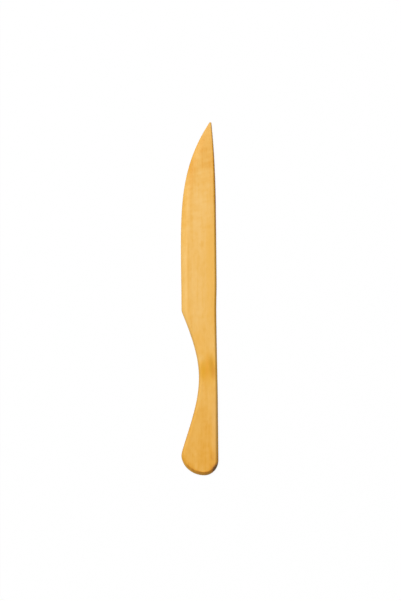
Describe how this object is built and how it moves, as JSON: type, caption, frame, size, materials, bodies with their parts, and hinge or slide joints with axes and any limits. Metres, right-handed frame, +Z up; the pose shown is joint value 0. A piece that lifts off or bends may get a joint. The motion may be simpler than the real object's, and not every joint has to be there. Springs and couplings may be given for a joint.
{
  "type": "wooden knife",
  "caption": "Flat wooden table knife carved from a board, with a curved blade bevelled to a thin edge, a scooped neck and a flared handle with a round end.",
  "frame": {"origin": "under the middle of the outline, on the surface that the knife lies on", "axes": "+Y along the length towards the point, +X towards the back, -X towards the cutting edge, +Z up through the board"},
  "size_m": [0.0266, 0.25, 0.006],
  "materials": {
    "oiled_wood": "pale golden hardwood, sanded and oiled"
  },
  "bodies": {
    "root": {"carved_knife": "oiled_wood"}
  },
  "joints": []
}
